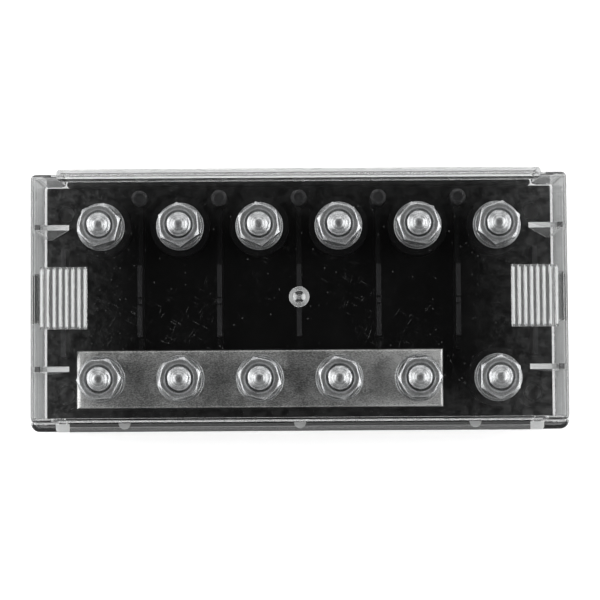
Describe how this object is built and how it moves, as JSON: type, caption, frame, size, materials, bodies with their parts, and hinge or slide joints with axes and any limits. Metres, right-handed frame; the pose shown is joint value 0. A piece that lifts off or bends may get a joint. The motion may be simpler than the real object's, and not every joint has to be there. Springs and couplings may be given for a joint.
{
  "type": "stud fuse holder",
  "caption": "Black moulded fuse holder with two rows of threaded studs, nuts, a busbar along one row and a clear lift-off cover.",
  "frame": {"origin": "under the middle of the base, on the surface it is screwed to", "axes": "+X along the row of bays, -Y towards the busbar side, +Z out of the surface"},
  "size_m": [0.1798, 0.0858, 0.0426],
  "materials": {
    "black_plastic": "moulded black, lightly textured",
    "clear_plastic": "clear polished moulding",
    "tinned_copper": "matte tin plating",
    "zinc_steel": "bright zinc plating"
  },
  "bodies": {
    "holder": {"base": "black_plastic", "busbar": "tinned_copper", "feed_studs": "zinc_steel", "load_studs": "zinc_steel", "feed_washers": "zinc_steel", "load_washers": "zinc_steel", "feed_spring_washers": "zinc_steel", "load_spring_washers": "zinc_steel"},
    "cover": {"cover": "clear_plastic"},
    "feed_nut_1": {"feed_nut_1": "zinc_steel"},
    "feed_nut_2": {"feed_nut_2": "zinc_steel"},
    "feed_nut_3": {"feed_nut_3": "zinc_steel"},
    "feed_nut_4": {"feed_nut_4": "zinc_steel"},
    "feed_nut_5": {"feed_nut_5": "zinc_steel"},
    "feed_nut_6": {"feed_nut_6": "zinc_steel"},
    "load_nut_1": {"load_nut_1": "zinc_steel"},
    "load_nut_2": {"load_nut_2": "zinc_steel"},
    "load_nut_3": {"load_nut_3": "zinc_steel"},
    "load_nut_4": {"load_nut_4": "zinc_steel"},
    "load_nut_5": {"load_nut_5": "zinc_steel"},
    "load_nut_6": {"load_nut_6": "zinc_steel"}
  },
  "joints": [
    {"name": "cover_lift", "type": "slide", "parent": "holder", "child": "cover", "axis": [0, 0, 1], "range_m": [0, 0.06]},
    {"name": "feed_nut_1_turn", "type": "hinge", "parent": "holder", "child": "feed_nut_1", "pos_m": [-0.06625, -0.0255, 0.0173], "axis": [0, 0, 1], "continuous": true},
    {"name": "feed_nut_2_turn", "type": "hinge", "parent": "holder", "child": "feed_nut_2", "pos_m": [-0.03975, -0.0255, 0.0173], "axis": [0, 0, 1], "continuous": true},
    {"name": "feed_nut_3_turn", "type": "hinge", "parent": "holder", "child": "feed_nut_3", "pos_m": [-0.01325, -0.0255, 0.0173], "axis": [0, 0, 1], "continuous": true},
    {"name": "feed_nut_4_turn", "type": "hinge", "parent": "holder", "child": "feed_nut_4", "pos_m": [0.01325, -0.0255, 0.0173], "axis": [0, 0, 1], "continuous": true},
    {"name": "feed_nut_5_turn", "type": "hinge", "parent": "holder", "child": "feed_nut_5", "pos_m": [0.03975, -0.0255, 0.0173], "axis": [0, 0, 1], "continuous": true},
    {"name": "feed_nut_6_turn", "type": "hinge", "parent": "holder", "child": "feed_nut_6", "pos_m": [0.06625, -0.0255, 0.0173], "axis": [0, 0, 1], "continuous": true},
    {"name": "load_nut_1_turn", "type": "hinge", "parent": "holder", "child": "load_nut_1", "pos_m": [-0.06625, 0.0255, 0.0173], "axis": [0, 0, 1], "continuous": true},
    {"name": "load_nut_2_turn", "type": "hinge", "parent": "holder", "child": "load_nut_2", "pos_m": [-0.03975, 0.0255, 0.0173], "axis": [0, 0, 1], "continuous": true},
    {"name": "load_nut_3_turn", "type": "hinge", "parent": "holder", "child": "load_nut_3", "pos_m": [-0.01325, 0.0255, 0.0173], "axis": [0, 0, 1], "continuous": true},
    {"name": "load_nut_4_turn", "type": "hinge", "parent": "holder", "child": "load_nut_4", "pos_m": [0.01325, 0.0255, 0.0173], "axis": [0, 0, 1], "continuous": true},
    {"name": "load_nut_5_turn", "type": "hinge", "parent": "holder", "child": "load_nut_5", "pos_m": [0.03975, 0.0255, 0.0173], "axis": [0, 0, 1], "continuous": true},
    {"name": "load_nut_6_turn", "type": "hinge", "parent": "holder", "child": "load_nut_6", "pos_m": [0.06625, 0.0255, 0.0173], "axis": [0, 0, 1], "continuous": true}
  ]
}
